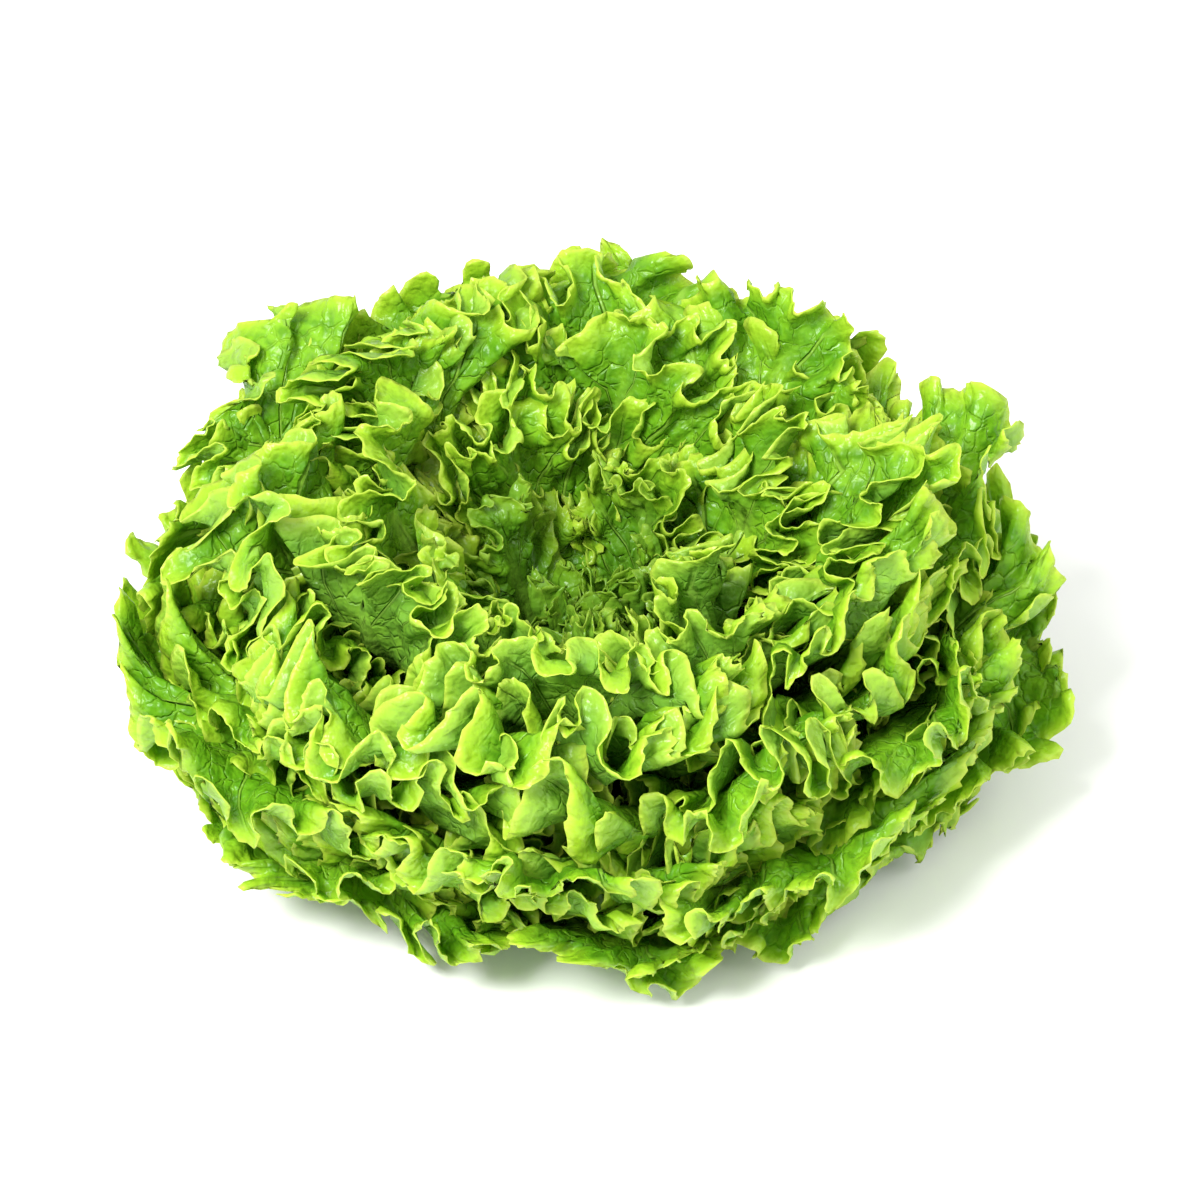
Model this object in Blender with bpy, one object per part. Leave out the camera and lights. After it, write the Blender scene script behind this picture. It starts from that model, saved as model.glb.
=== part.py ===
"""A head of batavia lettuce, cut at the stem and standing on the cut.

Forty frilled leaves grow in a spiral from a short stem, round a small curled heart. Ranks count
the leaves outwards, from 0 in the heart to 43 at the skirt. Every rank follows its own path from
the stem to the outside of the head, and the paths lie inside each other as the streams of a
fountain do, so a leaf that keeps to its own rank never crosses its neighbours.
"""

import math

import bmesh
import bpy
import numpy as np

# Driving dimensions, in metres.
HEAD_RADIUS = 0.150
HEAD_HEIGHT = 0.153
STEM_RADIUS = 0.0175
STEM_HEIGHT = 0.050
CUT_BEVEL = 0.0015
LOWEST_LEAF = 0.0085
HIGHEST_LEAF = 0.0430
LEAF_GAP = 0.0003
LAMINA = 0.0009
MIDRIB = 0.0036
MIDRIB_HALF_WIDTH = 0.0065
CORE_RADIUS = 0.0085
CORE_HEIGHT = 0.024
FLOOR_CLEARANCE = 0.0020

# How the leaves follow each other.
SEED = 26
FIRST_RANK = 4
LAST_RANK = 43
HEART_RANKS = (-3.0, -2.3, -1.6, -1.0, -0.5, 0.0, 0.4, 0.8, 1.2)
GOLDEN_ANGLE = math.radians(137.508)
FIRST_ANGLE = math.radians(178)
RANK_ROOM = 1.30
HALF_ANGLE = (math.radians(36), math.radians(41))
BASE_HALF_ANGLE = (math.radians(14), math.radians(21))

# The head is wider than deep, leans a little to the front, and its heart leans back and left.
WIDTH_STRETCH = 1.04
DEPTH_STRETCH = 0.91
FRONT_DROP = 0.08
HEART_LEAN = (-0.016, 0.008)
SWELLS = ((0.0032, 0.150), (0.0018, 0.062))
BULGE_WIDTH = 0.42
BULGES = ((-46, -0.12), (-128, -0.08), (42, -0.03), (150, -0.06))

# Two leaves that stand out: a pointed one that rises at the back left and a flat one at the right.
STANDOUTS = {
    26: {"reach": 1.12, "half_angle": math.radians(28), "shoulder": 0.52},
    38: {"reach": 1.07, "depth": 0.004},
}

# Paths of the leaves, as control points after the one on the stem. Each point gives its distance
# from the axis as a share of HEAD_RADIUS and its height as a share of HEAD_HEIGHT.
PATHS = {
    -3: ((0.05, 0.38), (0.04, 0.44), (0.00, 0.50)),
    0: ((0.10, 0.40), (0.12, 0.48), (0.05, 0.58)),
    4: ((0.18, 0.38), (0.22, 0.53), (0.14, 0.67)),
    10: ((0.28, 0.35), (0.40, 0.58), (0.32, 0.81)),
    15: ((0.37, 0.31), (0.54, 0.76), (0.54, 0.95)),
    20: ((0.44, 0.26), (0.66, 0.86), (0.76, 1.00)),
    26: ((0.51, 0.21), (0.79, 0.73), (0.96, 0.81)),
    32: ((0.55, 0.16), (0.85, 0.50), (1.06, 0.56)),
    38: ((0.56, 0.11), (0.86, 0.30), (1.06, 0.31)),
    43: ((0.54, 0.07), (0.84, 0.13), (0.99, 0.10)),
    46: ((0.52, 0.05), (0.82, 0.05), (0.95, -0.02)),
}

# A leaf's mesh: how far each row lies from the midrib to the margin, and how many folds share a
# column there.
ROWS = ((0.0, 5), (0.34, 4), (0.66, 2), (1.0, 1))


def smooth(x, low, high):
    """0 below low, 1 above high, and an even curve between them."""
    t = np.clip((x - low) / (high - low), 0, 1)
    return t * t * (3 - 2 * t)


def stem_radius(z):
    """The stem is widest a third of the way up and narrows to a blunt tip."""
    heights = np.array([0, 0.3, 0.7, 0.9, 1.0]) * STEM_HEIGHT
    radii = np.array([0.96, 1.0, 0.9, 0.8, 0.6]) * STEM_RADIUS
    return np.interp(z, heights, radii)


def attachment(rank):
    """Where a rank starts: the heart's on the core, all others beside the stem."""
    heights = (STEM_HEIGHT + 0.3 * CORE_HEIGHT, HIGHEST_LEAF, LOWEST_LEAF, 0.7 * LOWEST_LEAF)
    z = np.interp(rank, (2, FIRST_RANK, LAST_RANK, LAST_RANK + 2), heights)
    beside = stem_radius(z) + LEAF_GAP + 0.5 * LAMINA
    return np.interp(rank, (2, FIRST_RANK), (0.4, 1)) * beside, z


def path(share, rank):
    """Distance from the axis and height, at a share of the way from the stem to the tip."""
    base_r, base_z = attachment(rank)
    r, z = (1 - share) ** 3 * base_r, (1 - share) ** 3 * base_z
    weights = (3 * (1 - share) ** 2 * share, 3 * (1 - share) * share**2, share**3)
    for i, weight in enumerate(weights):
        r = r + weight * HEAD_RADIUS * np.interp(rank, list(PATHS), [p[i][0] for p in PATHS.values()])
        z = z + weight * HEAD_HEIGHT * np.interp(rank, list(PATHS), [p[i][1] for p in PATHS.values()])
    return r, z


def rank_spacing(share, rank):
    """How far apart two neighbouring ranks lie there, square to the path."""
    r0, z0 = path(share, rank - 0.5)
    r1, z1 = path(share, rank + 0.5)
    ra, za = path(share - 0.01, rank)
    rb, zb = path(share + 0.01, rank)
    along = np.hypot(rb - ra, zb - za)
    return np.abs((r1 - r0) * (zb - za) - (z1 - z0) * (rb - ra)) / along


def grown(r, angle, z):
    """The point in the finished head, with its oval outline, lean and slow swellings."""
    out = smooth(r, 0.02, 0.09)
    for degrees, size in BULGES:
        near = np.exp((np.cos(angle - math.radians(degrees)) - 1) / BULGE_WIDTH**2)
        r = r * (1 + size * out * near)
    x, y = r * np.cos(angle), r * np.sin(angle)
    up = smooth(z, 0.055, 0.15) * (1 - smooth(r, 0.03, 0.085))
    x = x * (1 + (WIDTH_STRETCH - 1) * out) + HEART_LEAN[0] * up
    y = y * (1 + (DEPTH_STRETCH - 1) * out) + HEART_LEAN[1] * up
    z = z + FRONT_DROP * y * out * smooth(z, 0.0, 0.08)
    for size, wavelength in SWELLS:
        k = 2 * math.pi / wavelength
        dx = np.sin(k * y + 0.7) + np.sin(0.8 * k * z + 2.1)
        dy = np.sin(0.9 * k * x + 1.9) + np.sin(k * z + 0.4)
        dz = np.sin(0.8 * k * x + 4.0) + np.sin(0.9 * k * y + 0.8)
        x, y, z = x + size * out * dx, y + size * out * dy, z + size * out * dz
    soft = 0.004
    z = FLOOR_CLEARANCE + soft * np.logaddexp(0, (z - FLOOR_CLEARANCE) / soft)
    return np.stack([x, y, z], axis=-1)


class Leaf:
    """One leaf's own shape, drawn from a generator that its place in the spiral seeds."""

    def __init__(self, rank, turn):
        draw = np.random.default_rng((SEED, turn + 50))
        self.rank = rank
        size = smooth(rank, 0, LAST_RANK * 0.6)
        self.angle = FIRST_ANGLE + turn * GOLDEN_ANGLE + math.radians(draw.uniform(-2, 2))
        self.half_angle = draw.uniform(*HALF_ANGLE)
        self.base_half_angle = BASE_HALF_ANGLE[0] + (BASE_HALF_ANGLE[1] - BASE_HALF_ANGLE[0]) * size
        self.reach = draw.uniform(0.84, 1.04)
        self.shoulder = draw.uniform(0.62, 0.78)
        fullness = 14.0 + 7.5 * size if rank >= FIRST_RANK else 8
        self.folds = 2 * int(round(fullness + draw.uniform(-1, 1)))
        self.phases = draw.uniform(0, 2 * math.pi, 8)
        self.depth = draw.uniform(0.85, 1.15) * (0.0070 + 0.0060 * size)
        self.tilt = draw.uniform(-0.3, 0.3)
        vars(self).update(STANDOUTS.get(rank, {}))
        self.thickness = LAMINA + (MIDRIB - LAMINA) * size
        self.fine_q = np.linspace(-1, 1, 401)
        self.run = self.margin_run()

    def margin(self, q):
        """Angle from the midrib and share of the path, on the leaf's edge. q runs from -1 at one
        corner of the base, past 0 at the tip, to 1."""
        top = 0.68
        away = np.abs(q)
        turn = np.clip(away / top, 0, 1) * math.pi / 2
        down = np.clip((away - top) / (1 - top), 0, 1)
        shoulder = self.shoulder * self.reach
        crown = shoulder + (self.reach - shoulder) * np.cos(turn) ** 0.8
        lobes = 1 + 0.05 * np.sin(7.3 * q + self.phases[6]) + 0.04 * np.sin(13.9 * q + self.phases[7])
        share = np.where(away < top, crown, shoulder * (1 - down)) * lobes
        opening = smooth(share, 0.12, 0.55)
        full = self.base_half_angle + (self.half_angle - self.base_half_angle) * opening
        angle = np.where(away < top, full * np.sin(turn) ** 0.9, full)
        return np.sign(q) * angle, share

    def vein(self, q, rho):
        """Angle and share at rho of the way along the vein from the midrib to the edge at q."""
        edge_angle, edge_share = self.margin(q)
        root = 0.78 * self.reach * (1 - np.abs(q)) ** 1.25
        return edge_angle * rho, root + (edge_share - root) * rho

    def margin_run(self):
        """Share of the margin's length passed at each fine_q, where the part near the stem, which
        has no ruffle, hardly counts."""
        angle, share = self.margin(self.fine_q)
        r, z = path(share, self.rank)
        step = np.sqrt(np.diff(r) ** 2 + np.diff(z) ** 2 + (r[1:] * np.diff(angle)) ** 2)
        run = np.cumsum(step * (0.08 + 0.92 * smooth(share[1:], 0.25, 0.5)))
        return np.concatenate([[0], run]) / run[-1]

    def fold_phase(self, q):
        """Half turns of the ruffle, counted along the edge, unevenly spaced as on a real leaf."""
        p = self.phases
        wander = 1.1 * np.sin(5.1 * q + p[0]) + 0.6 * np.sin(9.7 * q + p[1])
        return math.pi * (self.folds * np.interp(q, self.fine_q, self.run) + wander)

    def fold_edges(self):
        """The values of q at the crests and hollows of the ruffle, with both ends."""
        fine = np.linspace(-1, 1, 2001)
        phase = self.fold_phase(fine)
        first, last = math.ceil(phase[0] / math.pi), math.floor(phase[-1] / math.pi)
        inner = np.interp((np.arange(first, last) + 0.5) * math.pi, phase, fine)
        inner = inner[np.abs(inner) < 0.84]
        return np.concatenate([[-1, -0.92], inner, [0.92, 1]])

    def place(self, q, rho):
        """The point at rho along the vein that ends at q, ruffled and set in the head. All lifts
        turn into ranks, and a leaf keeps to the room that the ranks beside it leave free."""
        angle, share = self.vein(q, rho)
        p = self.phases
        spacing = rank_spacing(np.clip(share, 0.05, 1), self.rank)
        uneven = 0.80 + 0.25 * np.sin(7.3 * q + p[2]) + 0.20 * np.sin(17.0 * q + p[5])
        ruffle = np.minimum(self.depth / spacing, 1.3 * RANK_ROOM) * uneven * np.sin(self.fold_phase(q))
        slow = 0.0030 * np.sin(4.4 * q + p[3]) + 0.0020 * np.sin(6 * share + p[4])
        steps = ruffle * smooth(rho, 0.30, 1.0) + slow * smooth(rho, 0, 0.4) / spacing + self.tilt
        free = smooth(share, 0.30, 0.66)
        rank = self.rank + RANK_ROOM * np.tanh(free * steps / RANK_ROOM)
        r, z = path(share, rank)
        return grown(r, self.angle + angle, z)

    def wall(self, q, rho):
        """How thick the leaf is: a fleshy midrib at the base that fades into the lamina."""
        angle, share = self.vein(q, rho)
        r, _ = path(share, self.rank)
        rib = np.exp(-((angle * r / MIDRIB_HALF_WIDTH) ** 2)) * (1 - smooth(share, 0.0, 0.75)) ** 1.3
        rib = rib * (0.35 + 0.65 * smooth(share, 0.0, 0.15))
        return LAMINA + (self.thickness - LAMINA) * rib


def stitch(left, right, left_q, right_q):
    """Triangles between two rows of vertices, each step taken on the row that lags behind."""
    faces, i, j = [], 0, 0
    while i < len(left) - 1 or j < len(right) - 1:
        step_left = j == len(right) - 1 or (
            i < len(left) - 1 and left_q[i] + left_q[i + 1] <= right_q[j] + right_q[j + 1]
        )
        if step_left:
            faces.append((left[i], right[j], left[i + 1]))
            i += 1
        else:
            faces.append((left[i], right[j], right[j + 1]))
            j += 1
    return faces


def columns(folds, shared):
    """The folds themselves, or one column in the middle of each group of folds, with both ends."""
    if shared == 1:
        return folds
    groups = np.array_split(folds[2:-2], max(3, round((len(folds) - 4) / shared)))
    return np.concatenate([folds[:2], [g.mean() for g in groups], folds[-2:]])


def leaf_sheet(leaf):
    """Vertices, triangles and wall thicknesses of the leaf's middle surface."""
    folds = leaf.fold_edges()
    rows, points, walls, count = [], [], [], 0
    for rho, shared in ROWS:
        picked = columns(folds, shared)
        if rho == 0:
            picked = np.linspace(-1, 1, 2 * (len(picked) // 2) + 1)
        rho_row = np.full(len(picked), rho)
        points.append(leaf.place(picked, rho_row))
        walls.append(leaf.wall(picked, rho_row))
        rows.append((picked, np.arange(count, count + len(picked))))
        count += len(picked)
    # The two halves share the midrib, so its second half points back at its first.
    midrib = rows[0][1]
    rows[0] = (rows[0][0], np.minimum(midrib, midrib[::-1]))
    faces = []
    for (q_in, inner), (q_out, outer) in zip(rows, rows[1:]):
        faces += stitch(inner, outer, q_in, q_out)
    return np.concatenate(points), faces, np.concatenate(walls)


def material(name, colour, roughness):
    made = bpy.data.materials.new(name)
    made.use_nodes = True
    shader = made.node_tree.nodes["Principled BSDF"]
    shader.inputs["Base Color"].default_value = (*colour, 1)
    shader.inputs["Roughness"].default_value = roughness
    shader.inputs["Metallic"].default_value = 0
    return made


def linked(name, mesh, finish):
    obj = bpy.data.objects.new(name, mesh)
    bpy.context.scene.collection.objects.link(obj)
    mesh.materials.append(finish)
    return obj


def leaf_object(name, leaf, finish):
    """The sheet as a mesh, given its thickness by a Solidify that reads the walls."""
    points, faces, walls = leaf_sheet(leaf)
    mesh = bpy.data.meshes.new(name)
    mesh.from_pydata([tuple(p) for p in points], [], faces)
    work = bmesh.new()
    work.from_mesh(mesh)
    weights = work.verts.layers.deform.verify()
    for vert, wall in zip(work.verts, walls):
        vert[weights][0] = wall / MIDRIB
    bmesh.ops.delete(work, geom=[v for v in work.verts if not v.link_faces], context="VERTS")
    bmesh.ops.recalc_face_normals(work, faces=work.faces)
    work.to_mesh(mesh)
    work.free()
    mesh.shade_smooth()
    obj = linked(name, mesh, finish)
    obj.vertex_groups.new(name="wall")
    thick = obj.modifiers.new("Wall", "SOLIDIFY")
    thick.thickness = MIDRIB
    thick.offset = 0
    thick.vertex_group = "wall"
    thick.use_even_offset = False
    return obj


def turned(name, profile, steps, finish):
    """A closed solid turned round the stem's axis from points (radius, height), bottom to top."""
    work = bmesh.new()
    verts = [work.verts.new((r, 0, z)) for r, z in profile]
    edges = [work.edges.new(pair) for pair in zip(verts, verts[1:])]
    bmesh.ops.spin(
        work, geom=verts + edges, cent=(0, 0, 0), axis=(0, 0, 1), angle=2 * math.pi, steps=steps
    )
    bmesh.ops.remove_doubles(work, verts=work.verts, dist=1e-6)
    bmesh.ops.recalc_face_normals(work, faces=work.faces)
    mesh = bpy.data.meshes.new(name)
    work.to_mesh(mesh)
    work.free()
    mesh.shade_smooth()
    mesh.set_sharp_from_angle(angle=math.radians(40))
    return linked(name, mesh, finish)


def stem_object(finish):
    heights = [CUT_BEVEL, 0.3 * STEM_HEIGHT, 0.7 * STEM_HEIGHT, 0.9 * STEM_HEIGHT, STEM_HEIGHT]
    profile = [(0, 0), (float(stem_radius(0)) - CUT_BEVEL, 0)]
    profile += [(float(stem_radius(z)), z) for z in heights]
    profile += [(0, STEM_HEIGHT)]
    return turned("stem", profile, 24, finish)


def keep_outer_shell(mesh):
    """Fill the pockets that the curls enclose, which are shells of their own inside the mesh."""
    work = bmesh.new()
    work.from_mesh(mesh)
    left, shells = set(work.verts), []
    while left:
        shell, edge = set(), [next(iter(left))]
        while edge:
            vert = edge.pop()
            if vert not in shell:
                shell.add(vert)
                edge += [e.other_vert(vert) for e in vert.link_edges]
        left -= shell
        shells.append(shell)
    shells.sort(key=len)
    for shell in shells[:-1]:
        bmesh.ops.delete(work, geom=list(shell), context="VERTS")
    work.to_mesh(mesh)
    work.free()


def heart_object(finish):
    """The small curled leaves in the middle, fused with the core that they grow from."""
    foot = STEM_HEIGHT + LEAF_GAP
    shape = ((0, 0), (0.8, 0), (1, 0.3), (0.7, 0.8), (0, 1))
    profile = [(CORE_RADIUS * r, foot + CORE_HEIGHT * h) for r, h in shape]
    heart = turned("heart", profile, 16, finish)
    curls = bpy.data.collections.new("heart_curls")
    for i, rank in enumerate(HEART_RANKS):
        curl = leaf_object(f"curl_{i}", Leaf(rank, i - len(HEART_RANKS)), finish)
        bpy.context.scene.collection.objects.unlink(curl)
        curls.objects.link(curl)
    bpy.context.scene.collection.children.link(curls)
    union = heart.modifiers.new("Curls", "BOOLEAN")
    union.operation = "UNION"
    union.operand_type = "COLLECTION"
    union.collection = curls
    union.solver = "MANIFOLD"
    bpy.context.view_layer.update()
    baked = bpy.data.meshes.new_from_object(heart.evaluated_get(bpy.context.evaluated_depsgraph_get()))
    heart.modifiers.clear()
    heart.data = baked
    keep_outer_shell(baked)
    for curl in list(curls.objects):
        bpy.data.objects.remove(curl)
    bpy.data.collections.remove(curls)


def main():
    for obj in list(bpy.data.objects):
        bpy.data.objects.remove(obj)
    blade = material("leaf_blade", (0.20, 0.42, 0.03), 0.45)
    pith = material("stem_pith", (0.62, 0.70, 0.38), 0.55)
    stem_object(pith)
    heart_object(blade)
    for rank in range(FIRST_RANK, LAST_RANK + 1):
        leaf_object(f"leaf_{rank - FIRST_RANK + 1:02d}", Leaf(rank, rank), blade)


if __name__ == "__main__":
    main()
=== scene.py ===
# A head of batavia lettuce: forty frilled leaves round a curled heart, standing on its cut stem.
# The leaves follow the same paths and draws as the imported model, with finer frills, veins and flesh.
import math

import bpy
import numpy as np
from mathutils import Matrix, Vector


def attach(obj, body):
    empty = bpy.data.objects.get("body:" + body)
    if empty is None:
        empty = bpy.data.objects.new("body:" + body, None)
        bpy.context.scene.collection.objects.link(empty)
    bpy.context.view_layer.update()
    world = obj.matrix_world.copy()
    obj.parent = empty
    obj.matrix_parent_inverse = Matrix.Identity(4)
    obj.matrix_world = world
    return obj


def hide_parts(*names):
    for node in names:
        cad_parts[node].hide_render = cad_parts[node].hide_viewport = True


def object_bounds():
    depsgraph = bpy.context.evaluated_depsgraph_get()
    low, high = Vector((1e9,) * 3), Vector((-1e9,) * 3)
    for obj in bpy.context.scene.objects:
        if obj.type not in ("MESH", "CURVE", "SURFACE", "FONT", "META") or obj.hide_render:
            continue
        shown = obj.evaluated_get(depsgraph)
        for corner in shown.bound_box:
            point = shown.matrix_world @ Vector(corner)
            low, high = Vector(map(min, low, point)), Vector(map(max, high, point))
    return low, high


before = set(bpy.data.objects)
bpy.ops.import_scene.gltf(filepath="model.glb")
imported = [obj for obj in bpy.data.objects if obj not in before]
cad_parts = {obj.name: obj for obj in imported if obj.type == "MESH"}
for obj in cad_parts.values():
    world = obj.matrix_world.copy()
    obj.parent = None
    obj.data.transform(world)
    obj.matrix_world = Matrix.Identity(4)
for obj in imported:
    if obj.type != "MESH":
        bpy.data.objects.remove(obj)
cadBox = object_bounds()
print("frame loaded")

# The whole head, in metres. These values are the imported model's own. Ranks count the leaves outwards,
# from the heart to the skirt.
head = {
    "radius": 0.150, "height": 0.153, "seed": 26,
    "firstRank": 4, "lastRank": 43,
    "goldenAngle": math.radians(137.508), "firstAngle": math.radians(178),
    "halfAngle": (math.radians(36), math.radians(41)),
    "baseHalfAngle": (math.radians(14), math.radians(21)),
    "reach": (0.84, 1.04), "shoulder": (0.62, 0.78), "crown": 0.68, "veinRoot": 0.78,
    "folds": 14.0, "moreFolds": 7.5, "heartFolds": 8, "tilt": (-0.3, 0.3),
    "stemRadius": 0.0175, "stemHeight": 0.050, "coreHeight": 0.024,
    "lowestLeaf": 0.0085, "highestLeaf": 0.0430, "leafGap": 0.0003,
    "lamina": 0.0009, "midrib": 0.0036, "midribHalfWidth": 0.0065, "floorClearance": 0.0020,
    "floorSoftness": 0.004,  # height over which a leaf that reaches the floor is eased off it
    "widthStretch": 1.04, "depthStretch": 0.91, "frontDrop": 0.08, "heartLean": (-0.016, 0.008),
    "swells": ((0.0032, 0.150), (0.0018, 0.062)),  # push and wavelength
    "bulges": ((-46, -0.12), (-128, -0.08), (42, -0.03), (150, -0.06)),  # degrees and share of the radius
    "bulgeWidth": 0.42,
    "standouts": {
        26: {"reach": 1.12, "halfAngle": math.radians(28), "shoulder": 0.52},
        38: {"reach": 1.07},
    },
    "heartRanks": (-3.0, -2.3, -1.6, -1.0, -0.5, 0.0, 0.4, 0.8, 1.2),
}
# The leaves' paths by rank, each as three points after the one on the stem: the distance from the axis
# as a share of the radius, and the height as a share of the height.
paths = {
    -3: ((0.05, 0.38), (0.04, 0.44), (0.00, 0.50)),
    0: ((0.10, 0.40), (0.12, 0.48), (0.05, 0.58)),
    4: ((0.18, 0.38), (0.22, 0.53), (0.14, 0.67)),
    10: ((0.28, 0.35), (0.40, 0.58), (0.32, 0.81)),
    15: ((0.37, 0.31), (0.54, 0.76), (0.54, 0.95)),
    20: ((0.44, 0.26), (0.66, 0.86), (0.76, 1.00)),
    26: ((0.51, 0.21), (0.79, 0.73), (0.96, 0.81)),
    32: ((0.55, 0.16), (0.85, 0.50), (1.06, 0.56)),
    38: ((0.56, 0.11), (0.86, 0.30), (1.06, 0.31)),
    43: ((0.54, 0.07), (0.84, 0.13), (0.99, 0.10)),
    46: ((0.52, 0.05), (0.82, 0.05), (0.95, -0.02)),
}

# Side lobes of the leaves, which fill the gaps between one leaf and the next. Each lies some ranks
# outside its own leaf, or inside it where its rank is below zero.
lobes = (
    {"rank": 1.7, "reach": 0.97, "width": 0.92, "turn": 0.14, "first": 7, "last": 41, "seed": 3000},
    {"rank": -1.5, "reach": 0.77, "width": 0.86, "turn": 0.16, "first": 8, "last": 33, "seed": 5000},
    {"rank": 3.4, "reach": 0.98, "width": 0.90, "turn": 0.20, "first": 18, "last": 37, "seed": 7000},
)
# Leaves that reach a little further or less far than they are drawn, after the head's outline.
longLeaves = {
    25: {"reach": 0.95}, 26: {"turn": math.radians(-3), "reach": 1.03}, 29: {"reach": 1.08},
    33: {"reach": 0.90}, 34: {"reach": 1.03}, 37: {"reach": 0.89}, 38: {"reach": 1.07},
    40: {"reach": 0.95}, 42: {"reach": 0.99},
}
# The frills of a leaf, in metres where they are lengths.
frill = {
    "density": 0.86,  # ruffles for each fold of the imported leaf
    "crowding": ((0.17, 5.1), (0.15, 9.7), (0.12, 17.0), (0.08, 29.0)),  # how much and how fast it changes
    "wander": (0.030, 0.012),  # how far the folds stray sideways, as a share of half the margin
    "notches": 6.5, "moreNotches": 2.5,
    "notch": 0.10,  # how far the margin is cut in at each, for the length of the leaf
    "slender": 0.56,  # depth of a fold for the length of its wave
    "deepest": 0.0155,
    "tilt": 0.55,  # ranks that a whole leaf stands off its place
    "twist": 0.8,  # ranks between its two sides
    "broad": 1.15,  # ranks that its widest waves rise
    "room": 3.0,  # ranks that a leaf never passes
    "roll": 0.055,  # how far a lip rolls over, for the length of the leaf
    "second": 0.0021,
    "pucker": 0.0013,
    "slow": (0.0030, 0.0020),
    "drift": ((0.0036, 0.065), (0.0010, 0.030)),  # push and wavelength
    "toothPitch": 0.0062,
    "toothDepth": 0.0022,
    "shortestVein": 0.004,
    "nearby": 0.02,  # step along half the margin over which a slope is taken
}
flesh = {
    "lamina": 0.00060, "margin": 0.45,  # the margin's thickness is a share of the blade's
    "veins": 8, "moreVeins": 4,
    "blisterHeight": 0.0031, "blisterSize": 0.0085,
}
# Rows of a blade's mesh: how far each lies from the midrib to the margin, and its points.
leafRows = [(0, 17), (0.12, 17), (0.24, 33), (0.36, 65), (0.46, 97), (0.55, 129), (0.64, 193)]
leafRows += [(0.72, 225), (0.80, 257), (0.87, 289), (0.94, 609), (1.0, 609)]
lobeRows = [(0, 17), (0.2, 17), (0.38, 33), (0.55, 65), (0.70, 129), (0.83, 193), (0.93, 417), (1.0, 417)]


def smooth(x, low, high):
    t = np.clip((x - low) / (high - low), 0, 1)
    return t * t * (3 - 2 * t)


def stemRadiusAt(z):
    heights = np.array([0, 0.3, 0.7, 0.9, 1.0]) * head["stemHeight"]
    radii = np.array([0.96, 1.0, 0.9, 0.8, 0.6]) * head["stemRadius"]
    return np.interp(z, heights, radii)


def attachment(rank):
    # Distance from the axis and height at which a leaf leaves the stem.
    first, last = head["firstRank"], head["lastRank"]
    heights = (head["stemHeight"] + 0.3 * head["coreHeight"], head["highestLeaf"])
    heights += (head["lowestLeaf"], 0.7 * head["lowestLeaf"])
    z = np.interp(rank, (2, first, last, last + 2), heights)
    beside = stemRadiusAt(z) + head["leafGap"] + 0.5 * head["lamina"]
    return np.interp(rank, (2, first), (0.4, 1)) * beside, z


def pathPoint(share, rank):
    # Distance from the axis and height, at a share of the way from the stem to the tip.
    baseR, baseZ = attachment(rank)
    r, z = (1 - share) ** 3 * baseR, (1 - share) ** 3 * baseZ
    weights = (3 * (1 - share) ** 2 * share, 3 * (1 - share) * share**2, share**3)
    for i, weight in enumerate(weights):
        r = r + weight * head["radius"] * np.interp(rank, list(paths), [p[i][0] for p in paths.values()])
        z = z + weight * head["height"] * np.interp(rank, list(paths), [p[i][1] for p in paths.values()])
    return r, z


def rankSpacing(share, rank):
    # Metres from one leaf's path to the next one's.
    r0, z0 = pathPoint(share, rank - 0.5)
    r1, z1 = pathPoint(share, rank + 0.5)
    ra, za = pathPoint(share - 0.01, rank)
    rb, zb = pathPoint(share + 0.01, rank)
    along = np.hypot(rb - ra, zb - za)
    return np.abs((r1 - r0) * (zb - za) - (z1 - z0) * (rb - ra)) / along


def grown(r, angle, z):
    # The point in the finished head, with its oval outline, lean and slow swellings.
    out = smooth(r, 0.02, 0.09)
    for degrees, size in head["bulges"]:
        near = np.exp((np.cos(angle - math.radians(degrees)) - 1) / head["bulgeWidth"] ** 2)
        r = r * (1 + size * out * near)
    x, y = r * np.cos(angle), r * np.sin(angle)
    up = smooth(z, 0.055, 0.15) * (1 - smooth(r, 0.03, 0.085))
    x = x * (1 + (head["widthStretch"] - 1) * out) + head["heartLean"][0] * up
    y = y * (1 + (head["depthStretch"] - 1) * out) + head["heartLean"][1] * up
    z = z + head["frontDrop"] * y * out * smooth(z, 0.0, 0.08)
    for size, wavelength in head["swells"]:
        k = 2 * math.pi / wavelength
        dx = np.sin(k * y + 0.7) + np.sin(0.8 * k * z + 2.1)
        dy = np.sin(0.9 * k * x + 1.9) + np.sin(k * z + 0.4)
        dz = np.sin(0.8 * k * x + 4.0) + np.sin(0.9 * k * y + 0.8)
        x, y, z = x + size * out * dx, y + size * out * dy, z + size * out * dz
    soft, floor = head["floorSoftness"], head["floorClearance"]
    z = floor + soft * np.logaddexp(0, (z - floor) / soft)
    return np.stack([x, y, z], axis=-1)


def insideBox(spot):
    # Eases the outermost frills back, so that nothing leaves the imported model's box.
    spare, soft = 0.0019, 0.0025
    low, high = np.array(cadBox[0]) + spare, np.array(cadBox[1]) - spare
    spot = high - soft * np.logaddexp(0, (high - spot) / soft)
    return low + soft * np.logaddexp(0, (spot - low) / soft)


def frillAt(rho, inner):
    # Share of the full frill, which grows from nothing at the midrib to all of it at the margin. The
    # inmost leaves are only curled along their margins.
    outerLeaf = 0.16 * smooth(rho, 0.1, 0.6) + 0.84 * smooth(rho, 0.46, 1.0)
    return outerLeaf + inner * (smooth(rho, 0.62, 1.0) - outerLeaf)


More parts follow.
